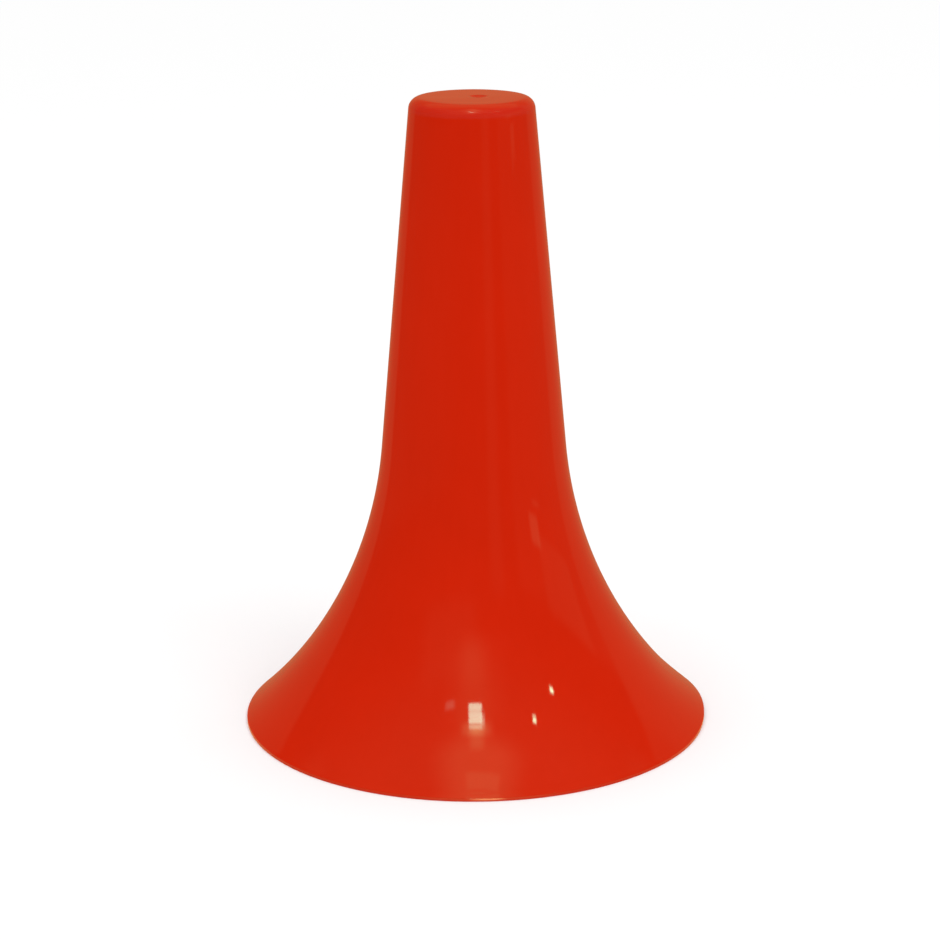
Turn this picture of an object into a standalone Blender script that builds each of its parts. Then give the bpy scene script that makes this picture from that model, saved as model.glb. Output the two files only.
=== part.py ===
"""A training cone: one hollow plastic moulding, open underneath.

Metres, +Z up. The origin is the centre of the base, on the ground, and Z is the cone's axis.

The wall is a turned shell. A straight, tapering trunk with a flat closed top runs without
a corner into one round flare, and the flare ends in a thin rim that stands on the ground.
Under the top, fins carry the cone that is stacked on this one, so that the tapers don't wedge.
The moulding's gate shows on the top, beside the axis: a shallow well with a low stub in it.
"""

import math

import bmesh
import bpy
from mathutils import Matrix, Vector

MM = 0.001

# Outside of the wall
HEIGHT = 229 * MM  # ground to the flat top
TOP_RADIUS = 21.9 * MM  # where the trunk's slope would meet the top, were the edge sharp
TOP_EDGE_ROUND = 4.2 * MM
TRUNK_FOOT_RADIUS = 33.4 * MM  # where the trunk turns into the flare
TRUNK_FOOT_HEIGHT = 103 * MM
BASE_RADIUS = 85 * MM
RIM_HEIGHT = 1.2 * MM  # the upright face of the rim, were its upper edge sharp
RIM_ROUND = 0.3 * MM

# Inside of the wall
WALL = 1.8 * MM
TOP_WALL = 2 * MM
CAVITY_ROUND = 2 * MM  # between the inside of the trunk and the underside of the top

# Stacking fins, moulded into the corner under the top
FIN_COUNT = 4
FIN_THICKNESS = 1.4 * MM
FIN_INNER_RADIUS = 9 * MM
STACK_CLEARANCE = 0.4 * MM  # all round, between the trunks of two stacked cones

# Gate, in the top
GATE_OFFSET = 2.4 * MM  # from the axis, along +X
WELL_RADIUS = 2.9 * MM
WELL_DEPTH = 0.45 * MM
STUB_RADIUS = 0.9 * MM
STUB_HEIGHT = 0.3 * MM  # above the bottom of the well
STUB_EDGE_ROUND = 0.15 * MM

# Fineness of the facets
TURN_STEPS = 72
FLARE_STEPS = 16
TOP_EDGE_STEPS = 6
RIM_STEPS = 2
CAVITY_STEPS = 3
GATE_TURN_STEPS = 24
WELL_STEPS = 4
STUB_EDGE_STEPS = 2
AXIS_MERGE = 0.001 * MM  # joins the copies of a profile point that lies on the axis
SHARP_EDGE = math.radians(35)

# Plastic
PLASTIC_COLOUR = (0.6, 0.0145, 0.0016, 1)
PLASTIC_ROUGHNESS = 0.04

UP = math.radians(90)
TAPER = math.atan2(TRUNK_FOOT_RADIUS - TOP_RADIUS, HEIGHT - TRUNK_FOOT_HEIGHT)

# How far one cone stands above the next in a stack, and so how far down the fins reach
STACK_PITCH = (WALL / math.cos(TAPER) + STACK_CLEARANCE) / math.tan(TAPER)

# How deep the fins and the stub are sunk in the wall that carries them
ROOT = min(WALL, TOP_WALL) / 2

# How far the cutter of the well reaches above the top
OVERRUN = WELL_DEPTH


def clear_scene():
    for old in list(bpy.data.objects):
        bpy.data.objects.remove(old, do_unlink=True)


def trunk_radius(height, depth):
    """Radius of the trunk at a height, on the face that lies this deep under its outside."""
    return TOP_RADIUS + (HEIGHT - height) * math.tan(TAPER) - depth / math.cos(TAPER)


def arc(centre, radius, start, end, steps):
    """Points in the (radius, height) plane; angles are measured up from straight outwards."""
    angles = [start + (end - start) * i / steps for i in range(steps + 1)]
    return [centre + radius * Vector((math.cos(a), math.sin(a))) for a in angles]


def flare_circle():
    """Centre and radius of the flare: tangent to the trunk's foot, through the rim's upper edge."""
    foot = Vector((TRUNK_FOOT_RADIUS, TRUNK_FOOT_HEIGHT))
    outwards = Vector((math.cos(TAPER), math.sin(TAPER)))
    chord = Vector((BASE_RADIUS, RIM_HEIGHT)) - foot
    radius = chord.length_squared / (2 * chord.dot(outwards))
    return foot + radius * outwards, radius


def outer_profile():
    """The outside, from the flat top down to the ground."""
    edge_height = HEIGHT - TOP_EDGE_ROUND
    edge_centre = Vector((trunk_radius(edge_height, TOP_EDGE_ROUND), edge_height))
    points = arc(edge_centre, TOP_EDGE_ROUND, UP, TAPER, TOP_EDGE_STEPS)

    flare_centre, flare_radius = flare_circle()
    rim_radius = BASE_RADIUS - RIM_ROUND
    reach = flare_centre.x - rim_radius
    drop = math.sqrt((flare_radius + RIM_ROUND) ** 2 - reach**2)
    rim_centre = Vector((rim_radius, flare_centre.y - drop))
    rim_angle = math.atan2(drop, reach)
    points += arc(flare_centre, -flare_radius, TAPER, rim_angle, FLARE_STEPS)
    points += arc(rim_centre, RIM_ROUND, rim_angle, 0, RIM_STEPS)[1:]
    return points + [Vector((BASE_RADIUS, 0))]


def cavity_corner(growth):
    """The rounded corner under the top, moved this far into the wall, from the top downwards."""
    height = HEIGHT - TOP_WALL - CAVITY_ROUND
    centre = Vector((trunk_radius(height, WALL + CAVITY_ROUND), height))
    return arc(centre, CAVITY_ROUND + growth, UP, TAPER, CAVITY_STEPS)


def inner_profile():
    """The inside, from the ground up to the underside of the top."""
    flare_centre, flare_radius = flare_circle()
    inside_radius = flare_radius + WALL
    ground_angle = math.asin(flare_centre.y / inside_radius)
    flare = arc(flare_centre, -inside_radius, ground_angle, TAPER, FLARE_STEPS)
    return flare + cavity_corner(0)[::-1]


def link(name, mesh):
    thing = bpy.data.objects.new(name, mesh)
    bpy.context.scene.collection.objects.link(thing)
    return thing


def mesh_from(bm, name):
    bmesh.ops.recalc_face_normals(bm, faces=bm.faces)
    mesh = bpy.data.meshes.new(name)
    bm.to_mesh(mesh)
    bm.free()
    return mesh


def turned(profile, steps, name):
    """A profile turned about the axis; an end of it that is off the axis is closed by a flat disc."""
    bm = bmesh.new()
    verts = [bm.verts.new((p.x, 0, p.y)) for p in profile]
    edges = [bm.edges.new(pair) for pair in zip(verts, verts[1:])]
    bmesh.ops.spin(
        bm,
        geom=verts + edges,
        cent=(0, 0, 0),
        axis=(0, 0, 1),
        angle=math.tau,
        steps=steps,
        use_merge=True,
    )
    bmesh.ops.remove_doubles(bm, verts=bm.verts, dist=AXIS_MERGE)
    bmesh.ops.holes_fill(bm, edges=bm.edges)
    return mesh_from(bm, name)


def guide(name, mesh, place=(0, 0, 0)):
    """A shape that only takes part in a Boolean."""
    thing = link(name, mesh)
    thing.location = place
    thing.hide_render = True
    thing.display_type = "WIRE"
    return thing


def fin_outline():
    """One fin from the side: rooted in the wall and the top, with a flat foot."""
    foot = HEIGHT - STACK_PITCH
    corner = cavity_corner(ROOT)
    return [
        Vector((FIN_INNER_RADIUS, foot)),
        Vector((FIN_INNER_RADIUS, corner[0].y)),
        *corner,
        Vector((trunk_radius(foot, WALL - ROOT), foot)),
    ]


def stacking_fins():
    bm = bmesh.new()
    half = FIN_THICKNESS / 2
    for number in range(FIN_COUNT):
        turn = Matrix.Rotation(math.tau * (number + 0.5) / FIN_COUNT, 3, "Z")
        verts = [bm.verts.new(turn @ Vector((p.x, -half, p.y))) for p in fin_outline()]
        side = bm.faces.new(verts)
        grown = bmesh.ops.extrude_face_region(bm, geom=[side])["geom"]
        far_side = [v for v in grown if isinstance(v, bmesh.types.BMVert)]
        bmesh.ops.translate(bm, verts=far_side, vec=turn @ Vector((0, FIN_THICKNESS, 0)))
    return guide("fins", mesh_from(bm, "fins"))


def gate_well():
    """The round dish cut into the top: part of a sphere, from its bottom up past the top."""
    radius = (WELL_RADIUS**2 + WELL_DEPTH**2) / (2 * WELL_DEPTH)
    centre = Vector((0, radius - WELL_DEPTH))
    rise = math.asin((OVERRUN - centre.y) / radius)
    profile = arc(centre, radius, -UP, rise, 2 * WELL_STEPS)
    return guide("well", turned(profile, GATE_TURN_STEPS, "well"), (GATE_OFFSET, 0, HEIGHT))


def gate_stub():
    """The low stub left where the gate was cut off, standing in the well."""
    tip_height = STUB_HEIGHT - WELL_DEPTH
    edge_centre = Vector((STUB_RADIUS - STUB_EDGE_ROUND, tip_height - STUB_EDGE_ROUND))
    profile = arc(edge_centre, STUB_EDGE_ROUND, UP, 0, STUB_EDGE_STEPS)
    profile.append(Vector((STUB_RADIUS, -WELL_DEPTH - ROOT)))
    return guide("stub", turned(profile, GATE_TURN_STEPS, "stub"), (GATE_OFFSET, 0, HEIGHT))


def combine(thing, other, operation):
    """Joins other to thing, or cuts it out, by a Boolean."""
    step = thing.modifiers.new(other.name, "BOOLEAN")
    step.operation = operation
    step.solver = "EXACT"
    step.object = other


def plastic():
    material = bpy.data.materials.new("cone_plastic")
    material.use_nodes = True
    shader = material.node_tree.nodes["Principled BSDF"]
    shader.inputs["Base Color"].default_value = PLASTIC_COLOUR
    shader.inputs["Roughness"].default_value = PLASTIC_ROUGHNESS
    shader.inputs["Metallic"].default_value = 0
    material.diffuse_color = PLASTIC_COLOUR
    return material


def build():
    clear_scene()
    profile = outer_profile() + inner_profile()
    shell = link("cone_shell", turned(profile, TURN_STEPS, "cone_shell"))
    shell.data.shade_smooth()
    shell.data.set_sharp_from_angle(angle=SHARP_EDGE)
    shell.data.materials.append(plastic())
    combine(shell, stacking_fins(), "UNION")
    combine(shell, gate_well(), "DIFFERENCE")
    combine(shell, gate_stub(), "UNION")


build()
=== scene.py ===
"""Dresses the training cone: a finely turned shell in glossy orange-red plastic, on a pale floor.

Metres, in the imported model's frame: +Z up along the cone's axis, the base's centre at the
origin, and the photographed side towards -Y.
"""

import math

import bmesh
import bpy
from mathutils import Matrix, Vector, noise


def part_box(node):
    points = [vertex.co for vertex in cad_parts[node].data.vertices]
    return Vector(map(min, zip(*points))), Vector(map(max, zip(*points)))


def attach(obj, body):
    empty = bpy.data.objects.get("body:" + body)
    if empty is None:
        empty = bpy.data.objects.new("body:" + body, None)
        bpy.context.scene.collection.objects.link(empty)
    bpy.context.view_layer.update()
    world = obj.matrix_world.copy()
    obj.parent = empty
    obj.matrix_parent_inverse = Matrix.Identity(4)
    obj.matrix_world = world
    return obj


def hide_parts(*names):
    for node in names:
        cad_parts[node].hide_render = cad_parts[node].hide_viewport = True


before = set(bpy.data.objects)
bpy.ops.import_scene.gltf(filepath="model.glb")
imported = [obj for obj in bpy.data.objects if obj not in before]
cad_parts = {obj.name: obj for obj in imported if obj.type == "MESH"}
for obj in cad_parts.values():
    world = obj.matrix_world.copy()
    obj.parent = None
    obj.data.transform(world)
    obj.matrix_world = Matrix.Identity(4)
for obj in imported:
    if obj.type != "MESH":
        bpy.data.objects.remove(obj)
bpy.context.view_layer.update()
shell_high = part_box("cone_shell")[1]  # its highest corner

MM = 0.001
UP = math.radians(90)

# Outside of the wall
HEIGHT = shell_high.z
TOP_RADIUS = 21.9 * MM  # where the trunk's slope would meet the top, were the edge sharp
TOP_EDGE_ROUND = 4.2 * MM
TOP_CROWN_ROUND = 70 * MM  # how the flat top eases down to its edge
TOP_CROWN_TILT = math.radians(2.3)
TRUNK_FOOT_RADIUS = 33.4 * MM  # where the trunk turns into the flare
TRUNK_FOOT_HEIGHT = 103 * MM
BASE_RADIUS = shell_high.x
RIM_HEIGHT = 1.2 * MM  # the upright face of the rim, were its upper edge sharp
RIM_ROUND = 0.15 * MM
RIM_FOOT_ROUND = 0.1 * MM
TAPER = math.atan2(TRUNK_FOOT_RADIUS - TOP_RADIUS, HEIGHT - TRUNK_FOOT_HEIGHT)

# Inside of the wall
WALL = 1.8 * MM
TOP_WALL = 2 * MM
CAVITY_ROUND = 2 * MM  # between the inside of the trunk and the underside of the top

# Stacking fins
FIN_COUNT = 4
FIN_THICKNESS = 1.4 * MM
FIN_INNER_RADIUS = 9 * MM
FIN_EDGE_ROUND = 0.35 * MM
FIN_EDGE_PROFILE = 0.5  # a bevel with this profile is round
STACK_CLEARANCE = 0.4 * MM  # all round, between the trunks of two stacked cones
STACK_PITCH = (WALL / math.cos(TAPER) + STACK_CLEARANCE) / math.tan(TAPER)
ROOT = min(WALL, TOP_WALL) / 2  # how deep the fins are sunk in the wall

# Gate, in the top
GATE_OFFSET = 2.4 * MM  # from the axis, along +X
WELL_RADIUS = 3.8 * MM
WELL_WALL = 2.6 * MM  # from its rim inwards to its flat bottom
WELL_DEPTH = 0.45 * MM
STUB_RADIUS = 0.9 * MM
STUB_HEIGHT = 0.15 * MM  # above the bottom of the well
STUB_EDGE_ROUND = 0.15 * MM
GATE_REACH = GATE_OFFSET + WELL_RADIUS  # from the cone's axis

# How far the moulding strays from a true turned surface, always inwards
SIDE_WAVE_DEPTH = 0.03 * MM
SIDE_WAVE_LENGTH = 38 * MM
SIDE_WAVE_FADE = TRUNK_FOOT_HEIGHT / 4  # the height at which the waves have their full depth
TOP_WAVE_DEPTH = 0.04 * MM
TOP_WAVE_LENGTH = 9 * MM
TOP_WAVE_FADE_SHARE = 0.25  # of the flat top's radius, at its outside

# Where the foot's edge has sprung off the ground
LIFT_HEIGHT = 1.05 * MM
LIFT_AZIMUTH = math.radians(7)  # from +X, towards +Y
LIFT_HALF_WIDTH = math.radians(30)
LIFT_INNER_RADIUS = 70 * MM

# How the front of the top sags
SAG_DEPTH = 0.32 * MM
SAG_AZIMUTH = math.radians(-75)  # from +X, towards +Y
SAG_REACH = 25 * MM  # down the trunk

# Fineness of the mesh
TURN_STEPS = 288
GATE_STEPS = 28  # from the axis to past the gate
FLAT_STEPS = 9  # from there to the crown
CROWN_STEPS = 6
TOP_EDGE_STEPS = 18
TRUNK_STEPS = 36
FLARE_STEPS = 64
RIM_STEPS = 8
RIM_FOOT_STEPS = 4
INNER_FLARE_STEPS = 48
INNER_TRUNK_STEPS = 20
CAVITY_STEPS = 10
ROOF_STEPS = 6
FIN_CORNER_STEPS = 3
FIN_EDGE_STEPS = 3
AXIS_MERGE = 0.001 * MM  # a profile point that is closer to the axis lies on it
SHARP_EDGE = math.radians(35)

# Plastic
PLASTIC_COLOUR = (0.6, 0.0145, 0.0016)
PLASTIC_IOR = 1.5
PLASTIC_ROUGHNESS = 0.04
INSIDE_ROUGHNESS = 0.2  # added to it on the inside
INSIDE_FACING = (-0.06, -0.02)  # the wall's inside faces a little downwards all over, by its taper

# Drift of the colour, with clouds and with streaks along the flow of the melt
COLOUR_DRIFT = 0.06  # to either side of the plastic's colour
CLOUD_SIZE = 32 * MM
CLOUD_DETAIL = 3
STREAK_WIDTH = 3 * MM
STREAK_DETAIL = 2
STREAK_SQUEEZE = (1, 1, 0.12)  # of the noise's place, which draws the streaks out along the axis
STREAK_SHARE = 0.3  # of the drift; the clouds have the rest
# Painted shade: the colour is darkened towards the top, where less light falls from above
TOP_PAINTED_SHADE = 0.3  # of the drift's range, taken off towards the top as painted shade
PAINTED_SHADE_START = 0.6 * HEIGHT
PAINTED_SHADE_END = 0.95 * HEIGHT

# Drift of the gloss, as factors of the roughness
STREAK_RANGE = (0.3, 0.7)  # of the noise, over which a streak goes from glossier to duller
STREAK_FACTORS = (0.9, 1.15)
RUB_SIZE = 14 * MM
RUB_DETAIL = 5
RUB_RANGE = (0.5, 0.75)  # of the noise, over which a rubbed patch sets in
RUB_FACTOR = 1.35

# Wear of the top's edge, where stacked cones rub
WEAR_FADE = 1 * MM
WEAR_ROUGHNESS = 0.14
WEAR_FACING = (0.6, 0.85)  # how far upwards the edge faces where the wear runs out

# Relief
RELIEF_DEPTH = 0.004 * MM
RIPPLE_SIZE = 3 * MM
GRAIN_SIZE = 0.4 * MM
GRAIN_RATIO = 2  # how much deeper the grain of the inside is than the ripples
RELIEF_DETAIL = 2

# Camera
CAMERA_PLACE = Vector((-1.5, -891.2, 353)) * MM
CAMERA_PITCH = math.radians(-16.245)
CAMERA_ROLL = math.radians(-0.387)
FOCAL_LENGTH_MM = 97.84
SENSOR_WIDTH_MM = 36

# Studio: its floor, and its soft lamps as name, azimuth, elevation and power in watts. Here and
# below, an azimuth is in degrees: 0 is behind the cone, 90 to its right and 180 the camera's side
WHITE = (1, 1, 1, 1)
WORLD_LEVEL = 0.98
FLOOR_GREY = (0.75, 0.75, 0.75, 1)
FLOOR_RADIUS = 6
FLOOR_STEPS = 96
LAMP_SIZE = 0.8
LAMP_DISTANCE = 1.6
LAMPS = (
    ("key", 140, 45, 3.66),
    ("fill", 220, 45, 1.05),
)

# The room as the gloss shows it, in degrees as seen from the cone
HALF_TURN = 180
ROOM_GLOW = 0.7  # of the plastic's own colour, which keeps the cone's outline as bright as its middle
WALL_LEVEL = 0.045
CEILING_LEVEL = 0.2
CEILING_FADE = (28, 62)  # the elevations over which the walls pale to the ceiling's level
WALLS_TINT = (0.6, 1, 0.45, 1)
CEILING_TINT = (0.7, 1, 0.42, 1)
WINDOW_TINT = (0.39, 1, 0.72, 1)
BULBS_TINT = (0.39, 1, 0.6, 1)
TABLE_TINT = (1.3, 1, 0.4, 1)

# Each patch of light in it is given as
# (azimuth, elevation), (width, height), (blur across, blur along), level
WALLS = (
    ((4.5, 12), (121, 70), (3, 3), 0.105),  # backdrop
    ((0, 0), (50, 36), (34, 24), 0.055),  # light pool on the backdrop
    ((40, 4), (50, 46), (12, 8), 0.035),  # its right-hand part
    ((0, 64), (150, 44), (14, 14), 0.2),  # ceiling behind
    ((100, 3), (70, 34), (6, 6), 0.055),  # right-hand wall
    ((93, 13.6), (32, 15.8), (4, 3), 0.1),  # pale board on that wall
    ((105.5, -0.4), (8, 1.2), (4, 0.8), 0.19),  # thin strip, lower on that wall
    ((111, 5.2), (10, 6), (4, 2), 0.42),  # small lit thing beside the board
    ((157.5, 6), (13, 34), (8, 8), 0.08),  # pale post on the camera's side
    ((256, -9), (90, 18), (40, 6), 0.03),  # floor on the left
    ((202, 34), (46, 18), (16, 8), 0.1),  # pale patch on the camera's side
)
CEILING = (
    ((180, 46), (46, 20), (16, 16), 0.1),  # glow around the window
    ((181, 54), (26, 12), (14, 8), 0.2),
    ((181, 41), (20, 12), (18, 8), 0.3),  # lit wall under the window
    ((179.6, 56), (16, 3), (16, 2.6), 2.2),  # lit wall over the window
    ((179.6, 56.5), (9, 1.6), (6, 1.6), 1),
    ((179.3, 58.6), (11, 4.4), (7, 3), 0.8),
    ((178, 75), (62, 32), (34, 8), 0.55),  # lit ceiling in front
    ((174, 69), (31, 4.4), (4, 1.5), 0.4),  # brighter bands on it
    ((170, 76), (40, 8), (20, 1), 0.55),
)
WINDOW = (
    ((180.4, 52.35), (10.8, 4.8), (1.6, 0.5), 13.5),  # pane
    ((174.4, 54), (3.4, 2.4), (1.6, 3.2), 6),  # its slanting right side
    ((180, 51.9), (11.6, 0.7), (0.8, 0.5), -2.4),  # glazing bar
    ((180.4, 55.55), (10.6, 1.2), (2, 0.8), 6),  # lit edge over the pane
    ((201, 49.6), (7, 2), (4, 1.4), 1.2),  # small faint window on the left
)
BULBS = (
    ((119.1, 40.2), (2.6, 1.4), (0.5, 0.5), 15),  # two small lamps, each brighter at its top
    ((118.9, 40.5), (2.2, 0.8), (0.8, 0.5), 14),
    ((133.3, 49.85), (2.4, 2), (0.6, 0.5), 10),
    ((133.1, 50.2), (2, 1.2), (0.8, 0.5), 13),
)
TABLE = (
    ((0, -60), (360, 80), (4, 4), 0.5),  # the surface that the cone stands on
    ((0, -80), (360, 80), (4, 60), -0.4),  # dimmer close by
    ((176, -26), (60, 12), (30, 4), 0.45),  # brighter in front
    ((174.5, -22.5), (13, 8), (8, 3), 6),  # glint there
)
ROOM = (
    (WALLS_TINT, WALLS),
    (CEILING_TINT, CEILING),
    (WINDOW_TINT, WINDOW),
    (BULBS_TINT, BULBS),
    (TABLE_TINT, TABLE),
)


def arc(centre, radius, start, end, steps):
    """Points in the (radius, height) plane; angles are measured up from straight outwards."""
    angles = [start + (end - start) * i / steps for i in range(steps + 1)]
    return [centre + radius * Vector((math.cos(a), math.sin(a))) for a in angles]


def line(start, end, steps):
    """Points from start to end, without start itself."""
    return [start.lerp(end, i / steps) for i in range(1, steps + 1)]


def smooth_step(value):
    """0 below 0, 1 above 1, and a smooth rise between them."""
    share = min(1, max(0, value))
    return share * share * (3 - 2 * share)


def wave(place, length):
    """Slow waves of about this length, from 0 to 1."""
    return (1 + noise.noise(place / length)) / 2


def trunk_radius(height, depth):
    """Radius of the trunk at a height, on the face that lies this deep under its outside."""
    return TOP_RADIUS + (HEIGHT - height) * math.tan(TAPER) - depth / math.cos(TAPER)


def flare_circle():
    """Centre and radius of the flare: tangent to the trunk's foot, through the rim's upper edge."""
    foot = Vector((TRUNK_FOOT_RADIUS, TRUNK_FOOT_HEIGHT))
    outwards = Vector((math.cos(TAPER), math.sin(TAPER)))
    chord = Vector((BASE_RADIUS, RIM_HEIGHT)) - foot
    radius = chord.length_squared / (2 * chord.dot(outwards))
    return foot + radius * outwards, radius


def top_edge():
    """The slight crown at the outside of the flat top and its rounded edge, from the flat downwards."""
    drop = TOP_CROWN_ROUND * (1 - math.cos(TOP_CROWN_TILT))
    height = HEIGHT - drop - TOP_EDGE_ROUND * math.cos(TOP_CROWN_TILT)
    centre = Vector((trunk_radius(height, TOP_EDGE_ROUND), height))
    inwards = (TOP_CROWN_ROUND - TOP_EDGE_ROUND) * math.sin(TOP_CROWN_TILT)
    crown_centre = Vector((centre.x - inwards, HEIGHT - TOP_CROWN_ROUND))
    crown_end = UP - TOP_CROWN_TILT
    crown = arc(crown_centre, TOP_CROWN_ROUND, UP, crown_end, CROWN_STEPS)
    return crown + arc(centre, TOP_EDGE_ROUND, crown_end, TAPER, TOP_EDGE_STEPS)[1:]


def flare_and_rim():
    """From the trunk's foot over the flare and the rim, down to the ground."""
    flare_centre, flare_radius = flare_circle()
    rim_radius = BASE_RADIUS - RIM_ROUND
    reach = flare_centre.x - rim_radius
    drop = math.sqrt((flare_radius + RIM_ROUND) ** 2 - reach**2)
    rim_centre = Vector((rim_radius, flare_centre.y - drop))
    rim_angle = math.atan2(drop, reach)
    foot_centre = Vector((BASE_RADIUS - RIM_FOOT_ROUND, RIM_FOOT_ROUND))
    flare = arc(flare_centre, -flare_radius, TAPER, rim_angle, FLARE_STEPS)
    rim = arc(rim_centre, RIM_ROUND, rim_angle, 0, RIM_STEPS)
    return flare + rim[1:] + arc(foot_centre, RIM_FOOT_ROUND, 0, -UP, RIM_FOOT_STEPS)


def outer_profile():
    """The outside, from the axis over the flat top, down to the ground."""
    middle = Vector((0, HEIGHT))
    past_gate = Vector((GATE_REACH, HEIGHT))
    edge = top_edge()
    foot = flare_and_rim()
    gate = [middle] + line(middle, past_gate, GATE_STEPS)
    flat = line(past_gate, edge[0], FLAT_STEPS)
    trunk = line(edge[-1], foot[0], TRUNK_STEPS)
    return gate + flat + edge[1:] + trunk + foot[1:]


def cavity_corner(growth, steps):
    """The rounded corner under the top, moved this far into the wall, from the top downwards."""
    height = HEIGHT - TOP_WALL - CAVITY_ROUND
    centre = Vector((trunk_radius(height, WALL + CAVITY_ROUND), height))
    return arc(centre, CAVITY_ROUND + growth, UP, TAPER, steps)


def inner_profile():
    """The inside, from the ground up to the axis under the top."""
    flare_centre, flare_radius = flare_circle()
    inside_radius = flare_radius + WALL
    ground_angle = math.asin(flare_centre.y / inside_radius)
    flare = arc(flare_centre, -inside_radius, ground_angle, TAPER, INNER_FLARE_STEPS)
    corner = cavity_corner(0, CAVITY_STEPS)[::-1]
    trunk = line(flare[-1], corner[0], INNER_TRUNK_STEPS)
    roof = line(corner[-1], Vector((0, HEIGHT - TOP_WALL)), ROOF_STEPS)
    return flare + trunk + corner[1:] + roof


def ring(bm, point):
    """The vertices of one profile point turned about the axis; a point on the axis has just one."""
    if point.x < AXIS_MERGE:
        return [bm.verts.new((0, 0, point.y))]
    turns = [math.tau * i / TURN_STEPS for i in range(TURN_STEPS)]
    return [bm.verts.new((point.x * math.cos(t), point.x * math.sin(t), point.y)) for t in turns]


def skin(bm, upper, lower):
    """Faces between two rings, which are triangles where one of them is a single vertex."""
    count = max(len(upper), len(lower))
    for i in range(count):
        corners = [lower[i % len(lower)], lower[(i + 1) % len(lower)]]
        corners += [upper[(i + 1) % len(upper)], upper[i % len(upper)]]
        bm.faces.new(dict.fromkeys(corners))


def gate_depth(place):
    """How far the top lies under its plane here because of the gate's well, with the stub in it."""
    distance = math.hypot(place.x - GATE_OFFSET, place.y)
    well = WELL_DEPTH * smooth_step((WELL_RADIUS - distance) / WELL_WALL)
    stub = STUB_HEIGHT * smooth_step((STUB_RADIUS - distance) / STUB_EDGE_ROUND)
    return well - min(stub, well)


def settle_side(vert):
    """Moves a vertex of the side inwards by the slow waves of the moulding."""
    depth = SIDE_WAVE_DEPTH * wave(vert.co, SIDE_WAVE_LENGTH)
    fade = min(1, vert.co.z / SIDE_WAVE_FADE)
    vert.co -= Vector((vert.co.x, vert.co.y, 0)).normalized() * depth * fade


def settle_top(vert, flat_radius):
    """Lowers a vertex of the flat top by its slow waves and by the gate's well."""
    depth = TOP_WAVE_DEPTH * wave(vert.co, TOP_WAVE_LENGTH)
    share = math.hypot(vert.co.x, vert.co.y) / flat_radius
    fade = smooth_step((1 - share) / TOP_WAVE_FADE_SHARE)
    vert.co.z -= depth * fade + gate_depth(vert.co)


def sag_top(vert):
    """Lowers a vertex of the front of the top, and less so the trunk under it."""
    way = Vector((math.cos(SAG_AZIMUTH), math.sin(SAG_AZIMUTH), 0))
    fade = smooth_step((vert.co.z - HEIGHT + SAG_REACH) / SAG_REACH)
    vert.co.z -= SAG_DEPTH * fade * smooth_step(vert.co.dot(way) / TOP_RADIUS)


def lift_foot(vert):
    """Raises a vertex of the foot's edge, on the right, where it has sprung off the ground."""
    turn = abs(math.atan2(vert.co.y, vert.co.x) - LIFT_AZIMUTH)
    reach = (math.hypot(vert.co.x, vert.co.y) - LIFT_INNER_RADIUS) / (BASE_RADIUS - LIFT_INNER_RADIUS)
    vert.co.z += LIFT_HEIGHT * smooth_step(reach) * smooth_step(1 - turn / LIFT_HALF_WIDTH)


def mesh_from(bm, name):
    bmesh.ops.recalc_face_normals(bm, faces=bm.faces)
    mesh = bpy.data.meshes.new(name)
    bm.to_mesh(mesh)
    bm.free()
    return mesh


def link(name, data):
    thing = bpy.data.objects.new(name, data)
    bpy.context.scene.collection.objects.link(thing)
    return thing


def turned_shell(name):
    """The wall as one closed skin, outside and inside, with what strays from a true turning."""
    bm = bmesh.new()
    flat_radius = top_edge()[0].x
    outside = [ring(bm, p) for p in outer_profile()]
    inside = [ring(bm, p) for p in inner_profile()]
    rings = outside + inside
    for upper, lower in zip(rings, rings[1:]):
        skin(bm, upper, lower)
    for vert in (v for r in outside for v in r):
        if math.hypot(vert.co.x, vert.co.y) < flat_radius:
            settle_top(vert, flat_radius)
        else:
            settle_side(vert)
    for vert in bm.verts:
        sag_top(vert)
        lift_foot(vert)
    return link(name, mesh_from(bm, name))


def fin_outline():
    """One fin from the side: rooted in the wall and the top, with a flat foot."""
    foot = HEIGHT - STACK_PITCH
    corner = cavity_corner(ROOT, FIN_CORNER_STEPS)
    return [
        Vector((FIN_INNER_RADIUS, foot)),
        Vector((FIN_INNER_RADIUS, corner[0].y)),
        *corner,
        Vector((trunk_radius(foot, WALL - ROOT), foot)),
    ]


def stands_free(edge):
    """True for the edges round a fin's foot and along its inner side."""
    foot = HEIGHT - STACK_PITCH
    at_foot = all(v.co.z < foot + FIN_EDGE_ROUND for v in edge.verts)
    across = math.hypot(FIN_INNER_RADIUS, FIN_THICKNESS)
    inner = all(math.hypot(v.co.x, v.co.y) < across for v in edge.verts)
    low = min(v.co.z for v in edge.verts) < foot + FIN_EDGE_ROUND
    return at_foot or (inner and low)


def round_free_edges(bm):
    bmesh.ops.bevel(
        bm,
        geom=[e for e in bm.edges if stands_free(e)],
        offset=FIN_EDGE_ROUND,
        segments=FIN_EDGE_STEPS,
        profile=FIN_EDGE_PROFILE,
        affect="EDGES",
    )


def stacking_fins():
    """The fins, with the edges that stand free of the wall rounded."""
    bm = bmesh.new()
    half = FIN_THICKNESS / 2
    for number in range(FIN_COUNT):
        turn = Matrix.Rotation(math.tau * (number + 0.5) / FIN_COUNT, 3, "Z")
        verts = [bm.verts.new(turn @ Vector((p.x, -half, p.y))) for p in fin_outline()]
        side = bm.faces.new(verts)
        grown = bmesh.ops.extrude_face_region(bm, geom=[side])["geom"]
        far_side = [v for v in grown if isinstance(v, bmesh.types.BMVert)]
        bmesh.ops.translate(bm, verts=far_side, vec=turn @ Vector((0, FIN_THICKNESS, 0)))
    round_free_edges(bm)
    return link("fins", mesh_from(bm, "fins"))


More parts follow.
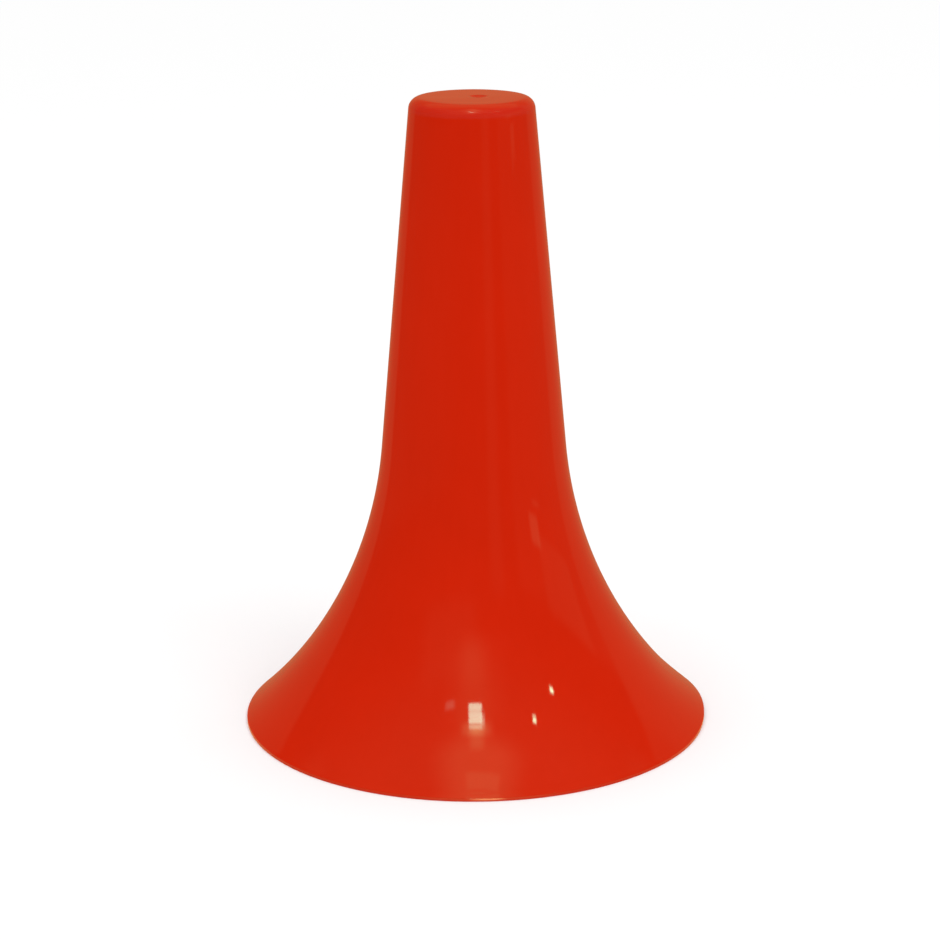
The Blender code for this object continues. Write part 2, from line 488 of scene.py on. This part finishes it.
def weld(thing, addition):
    """Joins addition into thing as one closed skin, and removes addition."""
    union = thing.modifiers.new(addition.name, "BOOLEAN")
    union.operation = "UNION"
    union.solver = "EXACT"
    union.object = addition
    graph = bpy.context.evaluated_depsgraph_get()
    thing.data = bpy.data.meshes.new_from_object(thing.evaluated_get(graph))
    thing.modifiers.clear()
    bpy.data.objects.remove(addition, do_unlink=True)


class Nodes:
    """Short forms for building one node tree."""

    def __init__(self, tree):
        self.tree = tree

    def add(self, kind, **settings):
        node = self.tree.nodes.new(kind)
        for name, value in settings.items():
            setattr(node, name, value)
        return node

    def join(self, source, target):
        """Sets an input from another node's output, or from a plain value."""
        if isinstance(source, bpy.types.NodeSocket):
            self.tree.links.new(source, target)
        else:
            target.default_value = source

    def fill(self, node, *sources):
        """Joins the sources to the node's inputs in order, and gives the node's first output."""
        for source, target in zip(sources, node.inputs):
            self.join(source, target)
        return node.outputs[0]

    def math(self, operation, *values):
        return self.fill(self.add("ShaderNodeMath", operation=operation), *values)

    def ramp(self, value, start, end, low, high):
        """A smooth step from low to high while value goes from start to end."""
        node = self.add("ShaderNodeMapRange", interpolation_type="SMOOTHSTEP")
        return self.fill(node, value, start, end, low, high)

    def stretch(self, place, scale):
        return self.fill(self.add("ShaderNodeVectorMath", operation="MULTIPLY"), place, scale)

    def split(self, vector):
        """The x, y and z of a vector."""
        node = self.add("ShaderNodeSeparateXYZ")
        self.join(vector, node.inputs[0])
        return tuple(node.outputs)

    def noise(self, place, size, detail):
        """Noise whose largest features have about this size."""
        node = self.add("ShaderNodeTexNoise")
        self.join(place, node.inputs["Vector"])
        self.join(1 / size, node.inputs["Scale"])
        self.join(detail, node.inputs["Detail"])
        return node.outputs["Fac"]

    def mix_colour(self, factor, first, second):
        node = self.add("ShaderNodeMix", data_type="RGBA")
        self.join(factor, node.inputs["Factor"])
        self.join(first, node.inputs["A"])
        self.join(second, node.inputs["B"])
        return node.outputs["Result"]

    def background(self, colour, strength):
        return self.fill(self.add("ShaderNodeBackground"), colour, strength)

    def add_lights(self, first, second):
        return self.fill(self.add("ShaderNodeAddShader"), first, second)


def shade(colour, factor):
    return (*(c * factor for c in colour), 1)


def plastic_colour(nodes, place, streak):
    """The colour, which drifts with the melt's flow down from the gate, with painted shade that darkens
    it near the top.
    """
    cloud = nodes.noise(place, CLOUD_SIZE, CLOUD_DETAIL)
    cloud_part = nodes.math("MULTIPLY", cloud, 1 - STREAK_SHARE)
    streak_part = nodes.math("MULTIPLY", streak, STREAK_SHARE)
    height = nodes.split(place)[2]
    # painted shade: the colour is darker towards the top
    painted_shade = nodes.ramp(height, PAINTED_SHADE_START, PAINTED_SHADE_END, 0, TOP_PAINTED_SHADE)
    drift = nodes.math("SUBTRACT", nodes.math("ADD", cloud_part, streak_part), painted_shade)
    deep = shade(PLASTIC_COLOUR, 1 - COLOUR_DRIFT)
    pale = shade(PLASTIC_COLOUR, 1 + COLOUR_DRIFT)
    return nodes.mix_colour(drift, deep, pale)


def plastic_roughness(nodes, place, streak, facing, inside):
    """Glossy with faint streaks and rubbed patches, worn along the top's edge and duller inside."""
    edge_foot = HEIGHT - TOP_EDGE_ROUND
    height = nodes.split(place)[2]
    near_top = nodes.ramp(height, edge_foot - WEAR_FADE, edge_foot, 0, WEAR_ROUGHNESS)
    worn = nodes.math("MULTIPLY", near_top, nodes.ramp(facing, *WEAR_FACING, 1, 0))
    rubbed = nodes.ramp(nodes.noise(place, RUB_SIZE, RUB_DETAIL), *RUB_RANGE, 1, RUB_FACTOR)
    streaked = nodes.ramp(streak, *STREAK_RANGE, *STREAK_FACTORS)
    drift = nodes.math("MULTIPLY", streaked, rubbed)
    outside_roughness = nodes.math("MULTIPLY_ADD", drift, PLASTIC_ROUGHNESS, worn)
    return nodes.math("MULTIPLY_ADD", inside, INSIDE_ROUGHNESS, outside_roughness)


def plastic_relief(nodes, place, inside):
    """Shallow ripples all over, and a fine grain inside."""
    grain_depth = nodes.math("MULTIPLY", inside, GRAIN_RATIO)
    grain = nodes.math("MULTIPLY", nodes.noise(place, GRAIN_SIZE, RELIEF_DETAIL), grain_depth)
    ripple = nodes.noise(place, RIPPLE_SIZE, RELIEF_DETAIL)
    bump = nodes.add("ShaderNodeBump")
    bump.inputs["Distance"].default_value = RELIEF_DEPTH
    nodes.join(nodes.math("ADD", grain, ripple), bump.inputs["Height"])
    return bump.outputs["Normal"]


def moulded_plastic(name):
    """Orange-red plastic, coloured right through: glossy outside, duller inside."""
    material = bpy.data.materials.new(name)
    material.use_nodes = True
    nodes = Nodes(material.node_tree)
    coordinates = nodes.add("ShaderNodeTexCoord")
    place = coordinates.outputs["Object"]
    streak = nodes.noise(nodes.stretch(place, STREAK_SQUEEZE), STREAK_WIDTH, STREAK_DETAIL)
    facing = nodes.split(coordinates.outputs["Normal"])[2]
    inside = nodes.ramp(facing, *INSIDE_FACING, 1, 0)

    inputs = material.node_tree.nodes["Principled BSDF"].inputs
    inputs["IOR"].default_value = PLASTIC_IOR
    nodes.join(plastic_colour(nodes, place, streak), inputs["Base Color"])
    nodes.join(plastic_roughness(nodes, place, streak, facing, inside), inputs["Roughness"])
    nodes.join(plastic_relief(nodes, place, inside), inputs["Normal"])
    return material


def panel(nodes, azimuth, elevation, place, size, blur, level):
    """One soft-edged patch of the room."""
    offset = nodes.math("SUBTRACT", azimuth, place[0])
    across = nodes.math("ABSOLUTE", nodes.math("WRAP", offset, HALF_TURN, -HALF_TURN))
    along = nodes.math("ABSOLUTE", nodes.math("SUBTRACT", elevation, place[1]))
    in_width = nodes.ramp(across, (size[0] - blur[0]) / 2, (size[0] + blur[0]) / 2, level, 0)
    in_height = nodes.ramp(along, (size[1] - blur[1]) / 2, (size[1] + blur[1]) / 2, 1, 0)
    return nodes.math("MULTIPLY", in_width, in_height)


def room(nodes):
    """The room all around, from its direction: dim walls and the patches of light in it."""
    x, y, z = nodes.split(nodes.add("ShaderNodeTexCoord").outputs["Generated"])
    azimuth = nodes.math("DEGREES", nodes.math("ARCTAN2", x, y))
    elevation = nodes.math("DEGREES", nodes.math("ARCSINE", z))
    glow = nodes.background(shade(PLASTIC_COLOUR, ROOM_GLOW), 1)
    dim = nodes.ramp(elevation, *CEILING_FADE, WALL_LEVEL, CEILING_LEVEL)
    light = nodes.add_lights(glow, nodes.background(WALLS_TINT, dim))
    for tint, panels in ROOM:
        total = 0
        for place, size, blur, level in panels:
            patch = panel(nodes, azimuth, elevation, place, size, blur, level)
            total = nodes.math("ADD", total, patch)
        light = nodes.add_lights(light, nodes.background(tint, total))
    return light


def build_world():
    """White for the camera, a plain level for diffuse light, and the room for the gloss."""
    world = bpy.data.worlds.new("studio")
    bpy.context.scene.world = world
    world.use_nodes = True
    world.cycles.sampling_method = "NONE"
    nodes = Nodes(world.node_tree)
    world.node_tree.nodes.clear()
    path = nodes.add("ShaderNodeLightPath").outputs
    seen = nodes.math("MAXIMUM", path["Is Camera Ray"], path["Is Transmission Ray"])
    plain = nodes.background(WHITE, nodes.ramp(seen, 0, 1, WORLD_LEVEL, 1))
    choice = nodes.fill(nodes.add("ShaderNodeMixShader"), path["Is Glossy Ray"], plain, room(nodes))
    nodes.join(choice, nodes.add("ShaderNodeOutputWorld").inputs["Surface"])


def floor_material():
    """White paint to the camera, and a pale grey to the light that falls on the cone."""
    material = bpy.data.materials.new("floor")
    material.use_nodes = True
    nodes = Nodes(material.node_tree)
    material.node_tree.nodes.clear()
    path = nodes.add("ShaderNodeLightPath").outputs
    paint = nodes.add("ShaderNodeBsdfDiffuse")
    nodes.join(nodes.mix_colour(path["Is Camera Ray"], FLOOR_GREY, WHITE), paint.inputs["Color"])
    nodes.join(paint.outputs[0], nodes.add("ShaderNodeOutputMaterial").inputs["Surface"])
    return material


def build_floor():
    """A round floor that keeps the cone's shadow, and that the gloss doesn't show."""
    bm = bmesh.new()
    bmesh.ops.create_circle(bm, cap_ends=True, segments=FLOOR_STEPS, radius=FLOOR_RADIUS)
    floor = link("floor", mesh_from(bm, "floor"))
    floor.data.materials.append(floor_material())
    floor.visible_glossy = False


def build_lamp(name, azimuth, elevation, power):
    """A square soft lamp that looks at the cone's middle; it lights, and the gloss doesn't show it."""
    data = bpy.data.lights.new(name, "AREA")
    data.shape = "SQUARE"
    data.size = LAMP_SIZE
    data.energy = power
    lamp = link(name, data)
    turn = math.radians(azimuth)
    rise = math.radians(elevation)
    reach = math.cos(rise)
    way = Vector((math.sin(turn) * reach, math.cos(turn) * reach, math.sin(rise)))
    lamp.location = Vector((0, 0, HEIGHT / 2)) + LAMP_DISTANCE * way
    lamp.rotation_euler = way.to_track_quat("Z", "Y").to_euler()
    lamp.visible_camera = False
    lamp.visible_glossy = False


def build_camera():
    """At the place and angle from which the photograph was taken."""
    data = bpy.data.cameras.new("camera")
    data.sensor_width = SENSOR_WIDTH_MM
    data.lens = FOCAL_LENGTH_MM
    camera = link("camera", data)
    tilt = Matrix.Rotation(UP + CAMERA_PITCH, 4, "X") @ Matrix.Rotation(CAMERA_ROLL, 4, "Z")
    camera.matrix_world = Matrix.Translation(CAMERA_PLACE) @ tilt
    bpy.context.scene.camera = camera


def build_cone():
    """The dressed shell with its fins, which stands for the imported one."""
    cone = turned_shell("cone")
    weld(cone, stacking_fins())
    cone.data.shade_smooth()
    cone.data.set_sharp_from_angle(angle=SHARP_EDGE)
    cone.data.materials.append(moulded_plastic("cone_plastic"))
    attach(cone, "root")
    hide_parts("cone_shell")


build_cone()
build_world()
build_floor()
for lamp_values in LAMPS:
    build_lamp(*lamp_values)
build_camera()
bpy.context.scene.view_settings.view_transform = "Standard"
